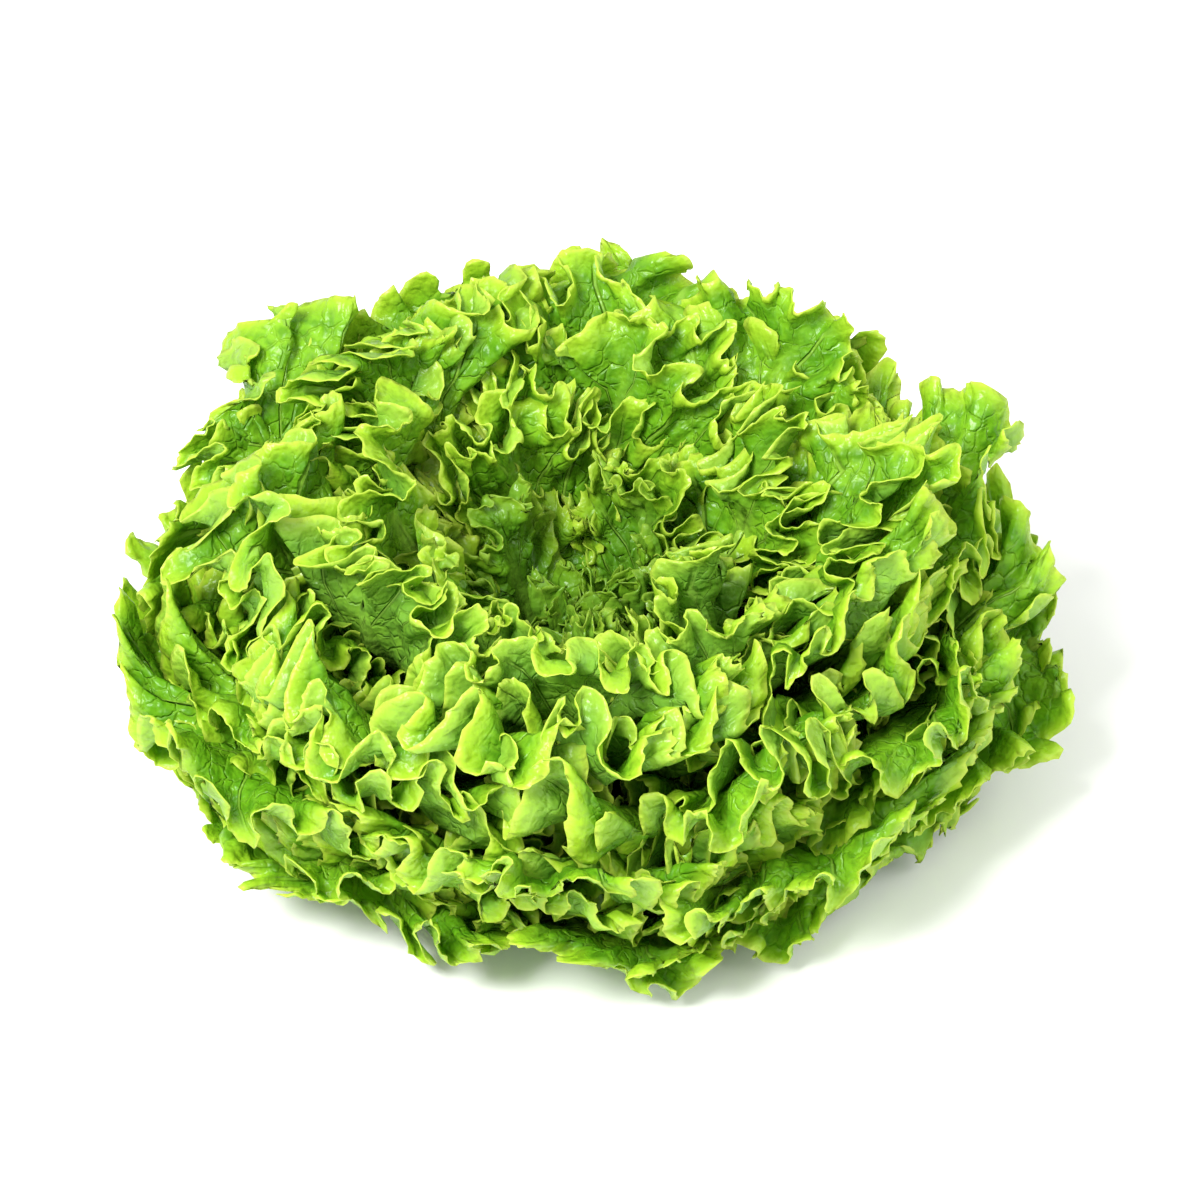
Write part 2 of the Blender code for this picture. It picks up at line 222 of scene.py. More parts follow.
def meander(slender, grownShare):
    # A river's bends: how far the line swings sideways, in radians of its wave, and its two depths for
    # one wave length, for a bend whose whole depth is slender times the wave.
    steepest = np.linspace(0.0, 1.95, 40)
    turn = np.linspace(0, 2 * math.pi, 64, endpoint=False)
    # Bessel functions of the steepest angle, as means over one turn.
    j0, j1, j2, j3 = (np.cos(n * turn - steepest[:, None] * np.sin(turn)).mean(axis=1) for n in range(4))
    depth = j1 / (math.pi * j0)
    steep = np.interp(slender, depth, steepest) * grownShare
    third = j3 / (3 * math.pi * j0)
    return (np.interp(steep, steepest, table) for table in (j2 / j0, depth, third))


class Leaf:
    # One sheet of a leaf: its blade, or one of its side lobes.
    def __init__(self, rank, turn, lobe=None):
        draw = np.random.default_rng((head["seed"], turn + (lobe["seed"] if lobe else 50)))
        self.rank = rank
        size = smooth(rank, 0, head["lastRank"] * 0.6)
        self.size = size
        self.angle = head["firstAngle"] + turn * head["goldenAngle"] + math.radians(draw.uniform(-2, 2))
        self.halfAngle = draw.uniform(*head["halfAngle"])
        narrow, wide = head["baseHalfAngle"]
        self.baseHalfAngle = narrow + (wide - narrow) * size
        self.reach = draw.uniform(*head["reach"])
        self.shoulder = draw.uniform(*head["shoulder"])
        fullness = head["folds"] + head["moreFolds"] * size
        if rank < head["firstRank"]:
            fullness = head["heartFolds"]
        self.folds = 2 * int(round(fullness + draw.uniform(-1, 1)))
        self.phases = draw.uniform(0, 2 * math.pi, 8)
        draw.uniform(0.85, 1.15)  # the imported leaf's own depth of fold, which the frills set anew
        self.tilt = draw.uniform(*head["tilt"])
        vars(self).update(head["standouts"].get(rank, {}))
        self.angle += longLeaves.get(turn, {}).get("turn", 0)
        self.reach *= longLeaves.get(turn, {}).get("reach", 1)
        if lobe:
            self.reach *= lobe["reach"]
            self.halfAngle *= lobe["width"]
            self.angle += draw.uniform(-1, 1) * lobe["turn"]
        self.thickness = head["lamina"] + (head["midrib"] - head["lamina"]) * size
        self.notches = frill["notches"] + frill["moreNotches"] * math.sin(turn * 1.7)
        own = np.random.default_rng((head["seed"], turn + (lobe["seed"] if lobe else 0) + 900))
        self.fine = own.uniform(0, 2 * math.pi, 30)
        self.fineQ = np.linspace(-1, 1, 801)
        self.run = self.marginRun()
        self.veins = flesh["veins"] + round(flesh["moreVeins"] * float(size))
        self.twist = own.uniform(-frill["twist"], frill["twist"])
        self.tilt += own.uniform(-1, 1) * frill["tilt"]
        self.ways = own.normal(0, 1, (8, 3))
        self.ways /= np.linalg.norm(self.ways, axis=1)[:, None]
        self.pushes = own.normal(0, 0.6, (8, 3))

    def margin(self, q):
        # Angle from the midrib and share of the path, on the leaf's edge. q runs from -1 at one corner
        # of the base, past 0 at the tip, to 1.
        top = head["crown"]
        away = np.abs(q)
        turn = np.clip(away / top, 0, 1) * math.pi / 2
        down = np.clip((away - top) / (1 - top), 0, 1)
        shoulder = self.shoulder * self.reach
        crown = shoulder + (self.reach - shoulder) * np.cos(turn) ** 0.8
        scallops = 1 + 0.05 * np.sin(7.3 * q + self.phases[6]) + 0.04 * np.sin(13.9 * q + self.phases[7])
        notch = np.maximum(0, np.sin(self.notches * q + self.phases[1])) ** 2
        scallops = scallops - frill["notch"] * notch * smooth(1 - away, 0.1, 0.4)
        share = np.where(away < top, crown, shoulder * (1 - down)) * scallops
        opening = smooth(share, 0.12, 0.55)
        full = self.baseHalfAngle + (self.halfAngle - self.baseHalfAngle) * opening
        angle = np.where(away < top, full * np.sin(turn) ** 0.9, full)
        return np.sign(q) * angle, share

    def waveLength(self, q):
        # Metres of margin in one wave of the ruffle, a fold out and a fold in.
        before, after = q - frill["nearby"], q + frill["nearby"]
        passed = np.interp(after, self.fineQ, self.arc) - np.interp(before, self.fineQ, self.arc)
        return 2 * math.pi * np.maximum(passed, 0.0004) / self.foldTurn(q)

    def veinRoot(self, q):
        return head["veinRoot"] * self.reach * (1 - np.abs(q)) ** 1.25

    def vein(self, q, rho):
        # Angle and share at rho of the way along the vein from the midrib to the edge at q.
        edgeAngle, edgeShare = self.margin(q)
        root = self.veinRoot(q)
        return edgeAngle * rho, root + (edgeShare - root) * rho

    def marginRun(self):
        # Share of the leaf's folds passed at each place of the margin. They crowd and thin out along it,
        # and few are left beside the base.
        angle, share = self.margin(self.fineQ)
        r, z = pathPoint(share, self.rank)
        step = np.sqrt(np.diff(r) ** 2 + np.diff(z) ** 2 + (r[1:] * np.diff(angle)) ** 2)
        crowd = 1.0
        starts = (self.phases[0], self.phases[1], self.fine[20], self.fine[21])
        for (size, pace), start in zip(frill["crowding"], starts):
            crowd = crowd + size * np.sin(pace * self.fineQ + start)
        run = np.cumsum(step * crowd[1:] * (0.12 + 0.88 * smooth(share[1:], 0.2, 0.45)))
        self.edgeLength = float(step.sum())
        self.arc = np.concatenate([[0], np.cumsum(step)])
        return np.concatenate([[0], run]) / run[-1]

    def foldPhase(self, q):
        return math.pi * self.folds * np.interp(q, self.fineQ, self.run)

    def foldTurn(self, q):
        # How far the phase turns from just before q to just after it.
        return self.foldPhase(q + frill["nearby"]) - self.foldPhase(q - frill["nearby"])

    def veinLength(self, q):
        # Metres from the midrib to the margin, along the vein that ends at q.
        angle, share = self.margin(q)
        r, z = pathPoint(share, self.rank)
        rootR, rootZ = pathPoint(self.veinRoot(q), self.rank)
        return np.hypot(np.hypot(r - rootR, z - rootZ), r * angle) + frill["shortestVein"]

    def smallWaves(self, q, rho, share, phase, wave):
        # Second waves in bunches, puckers between the side veins, and a slow swell near the midrib.
        p, f = self.phases, self.fine
        gather = smooth(np.sin(3.1 * q + f[2]) + 0.5 * np.sin(7.7 * q + f[3]), -0.6, 1.2)
        second = frill["second"] * (0.3 + 0.7 * gather) * smooth(rho, 0.55, 1.0) ** 1.5
        second = second * np.sin(3.3 * phase + f[4] + 1.4 * np.sin(3 * q + f[5]))
        second = second * np.clip(wave / 0.02, 0.3, 1)
        puckers = frill["pucker"] * np.cos(2 * math.pi * self.veins * q) * smooth(rho, 0.35, 0.6)
        slow = frill["slow"][0] * np.sin(4.4 * q + p[3]) + frill["slow"][1] * np.sin(6 * share + p[4])
        return second, puckers * (1 - smooth(rho, 0.8, 0.95)), slow * smooth(rho, 0, 0.4)

    def place(self, q, rho):
        # The blade's points in the finished head, at q along the margin and rho of the way out to it.
        p, f = self.phases, self.fine
        inner = 1 - smooth(self.rank, 0, 7)
        # The folds wander sideways on their way in from the margin.
        wander = frill["wander"][0] * np.sin(5.0 * rho + 6.0 * q + f[11])
        wander = wander + frill["wander"][1] * np.sin(11.0 * rho - 13.0 * q + f[12])
        lined = np.clip(q + wander * (1 - rho), -1, 1)
        density = frill["density"] * (1 + 1.1 * inner)
        phase = density * self.foldPhase(lined)
        slope = density * self.foldTurn(q) / (2 * frill["nearby"])
        wave = self.waveLength(q) / density
        uneven = 0.86 + 0.16 * np.sin(7.3 * q + p[2]) * np.sin(3.7 * q + f[13])
        uneven = uneven + 0.14 * np.sin(17.0 * q + p[5])
        deepest = np.minimum(frill["slender"] * uneven * wave, frill["deepest"])
        swing, swell, third = meander(deepest / wave, frillAt(rho, inner))
        # Sideways swing of the folds, so that a frill doubles back on itself as an S.
        corner = smooth(1 - np.abs(q), 0.03, 0.12) * smooth(self.margin(q)[1], 0.16, 0.42)
        bent = np.clip(q - swing * np.sin(2 * phase) / slope * corner, -1, 1)
        teeth = self.teeth(q) * smooth(rho, 0.90, 1.0) / self.veinLength(q)
        angle, share = self.vein(bent, rho - teeth)
        # Folds that lean outwards roll over at the lip, the ones between them stand up.
        fold = np.sin(phase)
        lip = smooth(rho, 0.55, 1.0) ** 2
        share = share * (1 - frill["roll"] * lip * (0.5 + 0.5 * fold) * uneven * smooth(share, 0.3, 0.6))
        spacing = rankSpacing(np.clip(share, 0.05, 1), self.rank)
        ruffle = wave * (swell * fold - third * np.sin(3 * phase)) * corner
        held = smooth(1 - np.abs(q), 0, 0.3)
        broad = frill["broad"] * np.sin(phase / 2.7 + f[14]) * smooth(rho, 0.05, 0.7) * held
        twist = self.twist * q * smooth(rho, 0.2, 1.0) * held
        second, puckers, slow = self.smallWaves(q, rho, share, phase, wave)
        lift = ruffle + second + puckers + slow
        steps = lift / spacing + broad + twist + self.tilt
        free = smooth(share, 0.22, 0.56)
        rank = self.rank + frill["room"] * np.tanh(free * steps / frill["room"])
        r, z = pathPoint(share, rank)
        spot = grown(r, self.angle + angle, z)
        loose = smooth(rho, 0.3, 1.0) * smooth(share, 0.35, 0.7)
        for i, (size, wavelength) in enumerate(frill["drift"]):
            spot = spot + size * loose[:, None] * self.drift(spot, wavelength, i)
        return insideBox(spot)

    def drift(self, spot, wavelength, octave):
        # A smooth push that differs from leaf to leaf.
        total = np.zeros_like(spot)
        for i in range(4):
            way, push = self.ways[2 * i + octave], self.pushes[2 * i + octave]
            total += push * np.sin(spot @ way * (2 * math.pi / wavelength) + self.fine[15 + i])[:, None]
        return total

    def teeth(self, q):
        # How far the margin is cut back beside each small pointed tooth, in metres.
        f = self.fine
        along = np.interp(q, self.fineQ, self.run) * self.edgeLength * 2.0 / frill["toothPitch"]
        along = along + 0.7 * np.sin(9.0 * q + f[7]) + 0.35 * np.sin(23.0 * q + f[8])
        size = 0.55 + 0.45 * np.sin(13.0 * q + f[9]) * np.sin(5.3 * q + f[10])
        return frill["toothDepth"] * size * np.abs(np.sin(math.pi * along)) ** 1.3

    def wall(self, q, rho):
        # Thickness of the leaf, with the midrib's swelling and a thin margin.
        angle, share = self.vein(q, rho)
        r, _ = pathPoint(share, self.rank)
        rib = np.exp(-((angle * r / head["midribHalfWidth"]) ** 2)) * (1 - smooth(share, 0.0, 0.75)) ** 1.3
        rib = rib * (0.35 + 0.65 * smooth(share, 0.0, 0.15))
        edge = flesh["margin"] * flesh["lamina"]
        thin = flesh["lamina"] + (edge - flesh["lamina"]) * smooth(rho, 0.9, 1.0)
        return thin + (self.thickness - thin) * rib


def stitch(left, right, leftQ, rightQ):
    # Triangles between two rows, each step taken on the row that lags behind.
    faces, i, j = [], 0, 0
    while i < len(left) - 1 or j < len(right) - 1:
        onLeft = j == len(right) - 1
        onLeft = onLeft or (i < len(left) - 1 and leftQ[i] + leftQ[i + 1] <= rightQ[j] + rightQ[j + 1])
        if onLeft:
            faces.append((left[i], right[j], left[i + 1]))
            i += 1
        else:
            faces.append((left[i], right[j], right[j + 1]))
            j += 1
    return faces


def leafSheet(leaf, sheetRows):
    # The blade's middle surface: its points, its triangles and what the flesh and the colour need.
    points, rows, count = [], [], 0
    facts = {"wall": [], "fromEdge": [], "midrib": [], "across": [], "along": [], "age": []}
    for rho, columns in sheetRows:
        q = np.linspace(-1, 1, columns)
        rhoRow = np.full(columns, rho)
        angle, share = leaf.vein(q, rhoRow)
        points.append(leaf.place(q, rhoRow))
        facts["wall"].append(leaf.wall(q, rhoRow))
        facts["fromEdge"].append((1 - rho) * leaf.veinLength(q))
        facts["midrib"].append(np.abs(angle) * pathPoint(share, leaf.rank)[0])
        facts["across"].append(q * leaf.veins)
        facts["along"].append(share)
        facts["age"].append(np.full(columns, float(leaf.size)))
        rows.append((q, np.arange(count, count + columns)))
        count += columns
    # The two halves share the midrib.
    midrib = rows[0][1]
    rows[0] = (rows[0][0], np.minimum(midrib, midrib[::-1]))
    faces = []
    for (qIn, inner), (qOut, outer) in zip(rows, rows[1:]):
        faces += stitch(inner, outer, qIn, qOut)
    points = np.concatenate(points)
    faces = np.array(faces)
    a, b, c = faces.T
    faces = faces[(a != b) & (b != c) & (a != c)]
    used = np.unique(faces)
    renumber = np.full(count, -1)
    renumber[used] = np.arange(len(used))
    faces = renumber[faces]
    points = points[used]
    facts = {name: np.concatenate(values)[used] for name, values in facts.items()}
    # Upper faces look towards the heart and the sky.
    a, b, c = (points[corner] for corner in faces.T)
    normals = np.cross(b - a, c - a)
    middle = points[faces].mean(axis=1)
    upward = -normals[:, 0] * middle[:, 0] - normals[:, 1] * middle[:, 1] + 0.08 * normals[:, 2]
    if upward.sum() < 0:
        faces = faces[:, ::-1]
    return points, faces, facts


def sheetMesh(name, sheets):
    # One mesh of several sheets, with their facts as attributes.
    points = np.concatenate([sheet[0] for sheet in sheets])
    faces, start = [], 0
    for sheet in sheets:
        faces.append(sheet[1] + start)
        start += len(sheet[0])
    faces = np.concatenate(faces)
    mesh = bpy.data.meshes.new(name)
    mesh.from_pydata(points.tolist(), [], faces.tolist())
    for fact in sheets[0][2]:
        values = np.concatenate([sheet[2][fact] for sheet in sheets]).astype(np.float32)
        mesh.attributes.new(fact, "FLOAT", "POINT").data.foreach_set("value", values)
    mesh.shade_smooth()
    return mesh


def addNode(tree, kind, inputs=None, **settings):
    node = tree.nodes.new(kind)
    for setting, value in settings.items():
        setattr(node, setting, value)
    for socket, value in (inputs or {}).items():
        if isinstance(value, bpy.types.NodeSocket):
            tree.links.new(value, node.inputs[socket])
        else:
            node.inputs[socket].default_value = value
    return node


def linear(hexColour):
    # An sRGB hex value as a linear colour.
    parts = [int(hexColour[i : i + 2], 16) / 255 for i in (1, 3, 5)]
    return (*(c / 12.92 if c <= 0.04045 else ((c + 0.055) / 1.055) ** 2.4 for c in parts), 1)


# Scales of the patterns, in repeats for one metre.
patterns = {
    "patches": 38.0,  # 26 mm, about the width of a lobe
    "mottle": 260.0,  # 4 mm
    "veinNet": 135.0,  # cells of 7 mm between the smallest veins that show
    "stemGrain": 220.0,  # 5 mm
}


def fleshTree():
    # Turns a blade's sheet into a closed leaf: blisters first, then its thickness on both sides.
    tree = bpy.data.node_groups.new("leafFlesh", "GeometryNodeTree")
    face = tree.interface
    face.new_socket("Geometry", in_out="INPUT", socket_type="NodeSocketGeometry")
    for name in ("Blister Height", "Blister Size", "Seed"):
        face.new_socket(name, in_out="INPUT", socket_type="NodeSocketFloat")
    face.new_socket("Finish", in_out="INPUT", socket_type="NodeSocketMaterial")
    face.new_socket("Geometry", in_out="OUTPUT", socket_type="NodeSocketGeometry")
    given = tree.nodes.new("NodeGroupInput").outputs
    here = addNode(tree, "GeometryNodeInputPosition").outputs[0]
    normal = addNode(tree, "GeometryNodeInputNormal").outputs[0]
    along = addNode(tree, "GeometryNodeInputNamedAttribute", {"Name": "along"}, data_type="FLOAT")
    wall = addNode(tree, "GeometryNodeInputNamedAttribute", {"Name": "wall"}, data_type="FLOAT")
    fineness = addNode(tree, "ShaderNodeMath", {0: 1.0, 1: given["Blister Size"]}, operation="DIVIDE")
    noise = addNode(
        tree, "ShaderNodeTexNoise",
        {"Vector": here, "W": given["Seed"], "Scale": fineness.outputs[0], "Detail": 2.0},
        noise_dimensions="4D",
    )
    centred = addNode(tree, "ShaderNodeMath", {0: noise.outputs["Fac"], 1: 0.5}, operation="SUBTRACT")
    free = addNode(
        tree, "ShaderNodeMapRange",
        {"Value": along.outputs["Attribute"], "From Min": 0.2, "From Max": 0.6, "To Max": 4.0},
    )
    height = addNode(
        tree, "ShaderNodeMath", {0: centred.outputs[0], 1: given["Blister Height"]}, operation="MULTIPLY"
    )
    height = addNode(
        tree, "ShaderNodeMath", {0: height.outputs[0], 1: free.outputs[0]}, operation="MULTIPLY"
    )
    blister = addNode(
        tree, "ShaderNodeVectorMath", {0: normal, "Scale": height.outputs[0]}, operation="SCALE"
    )
    patches = addNode(
        tree, "ShaderNodeTexNoise", {"Vector": here, "Scale": patterns["patches"], "Detail": 3.0}
    )
    patched = addNode(
        tree, "GeometryNodeStoreNamedAttribute",
        {"Geometry": given["Geometry"], "Name": "patch", "Value": patches.outputs["Fac"]},
        data_type="FLOAT", domain="POINT",
    )
    puffed = addNode(
        tree, "GeometryNodeSetPosition", {"Geometry": patched.outputs[0], "Offset": blister.outputs[0]}
    )
    kept = addNode(
        tree, "GeometryNodeCaptureAttribute", {"Geometry": puffed.outputs[0]}, domain="POINT"
    )
    kept.capture_items.new("VECTOR", "Normal")
    tree.links.new(normal, kept.inputs["Normal"])
    outward = kept.outputs["Normal"]
    half = addNode(tree, "ShaderNodeMath", {0: wall.outputs["Attribute"], 1: -0.5}, operation="MULTIPLY")
    lower = addNode(
        tree, "ShaderNodeVectorMath", {0: outward, "Scale": half.outputs[0]}, operation="SCALE"
    )
    underside = addNode(
        tree, "GeometryNodeSetPosition", {"Geometry": kept.outputs["Geometry"], "Offset": lower.outputs[0]}
    )
    raised = addNode(
        tree, "GeometryNodeExtrudeMesh",
        {"Mesh": underside.outputs[0], "Offset Scale": 0.0, "Individual": False}, mode="FACES",
    )
    rise = addNode(
        tree, "ShaderNodeVectorMath", {0: outward, "Scale": wall.outputs["Attribute"]}, operation="SCALE"
    )
    upper = addNode(
        tree, "GeometryNodeSetPosition",
        {
            "Geometry": raised.outputs["Mesh"], "Selection": raised.outputs["Top"],
            "Offset": rise.outputs[0],
        },
    )
    back = addNode(tree, "GeometryNodeFlipFaces", {"Mesh": underside.outputs[0]})
    marked = addNode(
        tree, "GeometryNodeStoreNamedAttribute",
        {"Geometry": back.outputs[0], "Name": "under", "Value": 1.0}, data_type="FLOAT", domain="POINT",
    )
    both = addNode(tree, "GeometryNodeJoinGeometry")
    tree.links.new(marked.outputs[0], both.inputs[0])
    tree.links.new(upper.outputs[0], both.inputs[0])
    closed = addNode(tree, "GeometryNodeMergeByDistance", {"Geometry": both.outputs[0], "Distance": 1e-7})
    real = addNode(tree, "GeometryNodeRealizeInstances", {"Geometry": closed.outputs[0]})
    done = addNode(
        tree, "GeometryNodeSetMaterial", {"Geometry": real.outputs[0], "Material": given["Finish"]}
    )
    addNode(tree, "NodeGroupOutput", {"Geometry": done.outputs[0]})
    return tree


def fleshed(name, mesh, tree, values):
    # The plain mesh that the tree makes of a blade's sheet.
    piece = bpy.data.objects.new(name, mesh)
    bpy.context.scene.collection.objects.link(piece)
    grow = piece.modifiers.new("Flesh", "NODES")
    grow.node_group = tree
    for socket in tree.interface.items_tree:
        if socket.in_out == "INPUT" and socket.name in values:
            grow[socket.identifier] = values[socket.name]
    bpy.context.view_layer.update()
    made = bpy.data.meshes.new_from_object(piece.evaluated_get(bpy.context.evaluated_depsgraph_get()))
    piece.modifiers.clear()
    piece.data = made
    made.name = name
    made.shade_smooth()
    return piece


leafColours = {
    "heart": "#568e1a", "blade": "#6fae1e", "fresh": "#8dc62a", "deep": "#478a10",
    "frill": "#bce036", "vein": "#abd254", "base": "#cfdfa6", "under": "#90bb54",
    "margin": "#dcea62", "glow": "#c3e832",
}


def leafFinish(name):
    # Fresh lettuce blade: a waxy skin over wet green cells. The skin gives a soft satin gloss, light
    # glows through the thin frills, and the margin has less green, so it reads as a yellow line.
    made = bpy.data.materials.new(name)
    made.use_nodes = True
    tree = made.node_tree
    tree.nodes.clear()
    at = addNode(tree, "ShaderNodeTexCoord").outputs["Object"]

    facts = {}
    for fact in ("across", "age", "along", "fromEdge", "midrib", "patch", "under"):
        facts[fact] = addNode(tree, "ShaderNodeAttribute", attribute_name=fact).outputs["Fac"]
    mottle = addNode(
        tree, "ShaderNodeTexNoise", {"Vector": at, "Scale": patterns["mottle"], "Detail": 1.5}
    ).outputs["Fac"]

    # The small net of veins, the side veins that run out to the margin, and the midrib.
    bend = addNode(tree, "ShaderNodeVectorMath", {0: mottle, "Scale": 0.004}, operation="SCALE").outputs[0]
    bent = addNode(tree, "ShaderNodeVectorMath", {0: at, 1: bend}, operation="ADD").outputs[0]
    cells = addNode(
        tree, "ShaderNodeTexVoronoi", {"Vector": bent, "Scale": patterns["veinNet"]},
        feature="DISTANCE_TO_EDGE",
    ).outputs["Distance"]
    net = addNode(
        tree, "ShaderNodeMapRange", {"Value": cells, "From Max": 0.10, "To Min": 0.35, "To Max": 0.0},
        interpolation_type="SMOOTHSTEP",
    ).outputs[0]
    wander = addNode(tree, "ShaderNodeMath", {0: facts["patch"], 1: 1.1}, operation="MULTIPLY").outputs[0]
    drift = addNode(tree, "ShaderNodeMath", {0: facts["across"], 1: wander}, operation="ADD").outputs[0]
    beside = addNode(tree, "ShaderNodeMath", {0: drift, 1: 1.0}, operation="PINGPONG").outputs[0]
    side = addNode(
        tree, "ShaderNodeMapRange",
        {"Value": beside, "From Min": 0.02, "From Max": 0.085, "To Min": 1.0, "To Max": 0.0},
        interpolation_type="SMOOTHSTEP",
    ).outputs[0]
    fine = addNode(tree, "ShaderNodeMath", {0: side, 1: net}, operation="MAXIMUM").outputs[0]
    inland = addNode(
        tree, "ShaderNodeMapRange", {"Value": facts["fromEdge"], "From Min": 0.004, "From Max": 0.02},
        interpolation_type="SMOOTHSTEP",
    ).outputs[0]
    fine = addNode(tree, "ShaderNodeMath", {0: fine, 1: inland}, operation="MULTIPLY").outputs[0]
    rib = addNode(
        tree, "ShaderNodeMapRange",
        {"Value": facts["midrib"], "From Min": 0.001, "From Max": 0.005, "To Min": 1.0, "To Max": 0.0},
        interpolation_type="SMOOTHSTEP",
    ).outputs[0]
    near = addNode(
        tree, "ShaderNodeMapRange",
        {"Value": facts["along"], "From Min": 0.5, "From Max": 0.95, "To Min": 1.0, "To Max": 0.0},
        interpolation_type="SMOOTHSTEP",
    ).outputs[0]
    rib = addNode(tree, "ShaderNodeMath", {0: rib, 1: near}, operation="MULTIPLY").outputs[0]
    veins = addNode(tree, "ShaderNodeMath", {0: fine, 1: rib}, operation="MAXIMUM").outputs[0]

    # Each layer of colour: what it follows, from where to where, and its share at either end.
    layers = (
        (facts["age"], 0.0, 0.55, 0.0, 1.0, "blade"),
        (facts["patch"], 0.38, 0.66, 0.0, 1.0, "fresh"),
        (mottle, 0.42, 0.68, 0.0, 0.55, "deep"),
        (facts["fromEdge"], 0.0, 0.0145, 0.84, 0.0, "frill"),
        (veins, 0.0, 1.0, 0.0, 0.45, "vein"),
        (facts["along"], 0.02, 0.35, 0.85, 0.0, "base"),
        (facts["under"], 0.0, 1.0, 0.0, 0.35, "under"),
        (facts["fromEdge"], 0.0, 0.0034, 0.50, 0.0, "margin"),
        (facts["age"], 0.0, 0.38, 0.72, 0.0, "heart"),
    )
    colour = linear(leafColours["heart"])
    for follows, low, high, lowShare, highShare, tint in layers:
        share = addNode(
            tree, "ShaderNodeMapRange",
            {"Value": follows, "From Min": low, "From Max": high, "To Min": lowShare, "To Max": highShare},
            interpolation_type="SMOOTHSTEP",
        ).outputs[0]
        colour = addNode(
            tree, "ShaderNodeMix", {0: share, 6: colour, 7: linear(leafColours[tint])}, data_type="RGBA"
        ).outputs[2]
    glow = addNode(
        tree, "ShaderNodeMix", {0: 0.35, 6: colour, 7: linear(leafColours["glow"])}, data_type="RGBA"
    ).outputs[2]

    gloss = addNode(
        tree, "ShaderNodeMapRange",
        {"Value": mottle, "From Min": 0.3, "From Max": 0.7, "To Min": 0.24, "To Max": 0.42},
    ).outputs[0]
    relief = addNode(
        tree, "ShaderNodeMath", {0: veins, 1: -0.9, 2: mottle}, operation="MULTIPLY_ADD"
    ).outputs[0]
    bump = addNode(tree, "ShaderNodeBump", {"Height": relief, "Strength": 1.0, "Distance": 0.0016})
    skin = addNode(
        tree, "ShaderNodeBsdfPrincipled",
        {"Base Color": colour, "Roughness": gloss, "Normal": bump.outputs[0], "IOR": 1.42},
    )
    through = addNode(tree, "ShaderNodeBsdfTranslucent", {"Color": glow})
    both = addNode(tree, "ShaderNodeMixShader", {0: 0.34, 1: skin.outputs[0], 2: through.outputs[0]})
    addNode(tree, "ShaderNodeOutputMaterial", {"Surface": both.outputs[0]})
    return made


stump = {
    "sides": 96, "rings": 40,
    "bevel": 0.0014, "bevelHeight": 0.0012, "topRing": 0.0006,
    "skin": 0.0006,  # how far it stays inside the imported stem
    "flute": 0.0005, "flutes": 7, "fluteTurn": 90,
    "scar": 0.0004, "scarPace": 1500,
}
stemColours = {"flesh": "#cfdca6", "core": "#e8ecca", "cut": "#9c6b3c"}


def stemPiece(finish):
    # The stump that the leaves sit on, with the scars that stripped leaves leave as shallow rings.
    steps = stump["sides"]
    heights = np.linspace(stump["bevelHeight"], head["stemHeight"] - stump["topRing"], stump["rings"])
    heights = np.concatenate([[0.0], heights, [head["stemHeight"]]])
    turn = np.linspace(0, 2 * math.pi, steps, endpoint=False)
    points, faces = [(0, 0, 0)], []
    for i, z in enumerate(heights):
        r = stemRadiusAt(z) - (stump["bevel"] if i == 0 else 0.0)
        flutes = np.sin(stump["flutes"] * turn + stump["fluteTurn"] * z)
        r = r - stump["skin"] - stump["flute"] * flutes * smooth(z, 0.0, 0.004)
        r = r - stump["scar"] * np.sin(stump["scarPace"] * z + 2 * np.sin(turn))
        points += [(x, y, z) for x, y in zip(r * np.cos(turn), r * np.sin(turn))]
    points.append((0, 0, head["stemHeight"]))
    top = len(points) - 1
    for j in range(steps):
        k = (j + 1) % steps
        faces.append((0, 1 + k, 1 + j))
        faces.append((top, top - steps + j, top - steps + k))
        for i in range(len(heights) - 1):
            a, b = 1 + i * steps, 1 + (i + 1) * steps
            faces.append((a + j, a + k, b + k, b + j))
    mesh = bpy.data.meshes.new("stemStump")
    mesh.from_pydata(points, [], faces)
    mesh.shade_smooth()
    mesh.materials.append(finish)
    piece = bpy.data.objects.new("stemStump", mesh)
    bpy.context.scene.collection.objects.link(piece)
    return piece


def stemFinish(name):
    # Cut lettuce stem: pale watery flesh with a browned cut, which dries to a dull tan ring.
    made = bpy.data.materials.new(name)
    made.use_nodes = True
    tree = made.node_tree
    tree.nodes.clear()
    at = addNode(tree, "ShaderNodeTexCoord").outputs["Object"]
    apart = addNode(tree, "ShaderNodeSeparateXYZ", {0: at})
    noise = addNode(
        tree, "ShaderNodeTexNoise", {"Vector": at, "Scale": patterns["stemGrain"], "Detail": 4.0}
    ).outputs["Fac"]
    low = addNode(
        tree, "ShaderNodeMapRange",
        {"Value": apart.outputs[2], "From Max": 0.004, "To Min": 1.0, "To Max": 0.0},
    )
    cut = addNode(tree, "ShaderNodeMath", {0: low.outputs[0], 1: noise}, operation="MULTIPLY").outputs[0]
    pale = addNode(
        tree, "ShaderNodeMix",
        {0: noise, 6: linear(stemColours["flesh"]), 7: linear(stemColours["core"])}, data_type="RGBA",
    ).outputs[2]
    colour = addNode(
        tree, "ShaderNodeMix", {0: cut, 6: pale, 7: linear(stemColours["cut"])}, data_type="RGBA"
    ).outputs[2]
    bump = addNode(tree, "ShaderNodeBump", {"Height": noise, "Strength": 0.4, "Distance": 0.0005})
    skin = addNode(
        tree, "ShaderNodeBsdfPrincipled",
        {"Base Color": colour, "Roughness": 0.5, "Normal": bump.outputs[0], "IOR": 1.42},
    )
    addNode(tree, "ShaderNodeOutputMaterial", {"Surface": skin.outputs[0]})
    return made


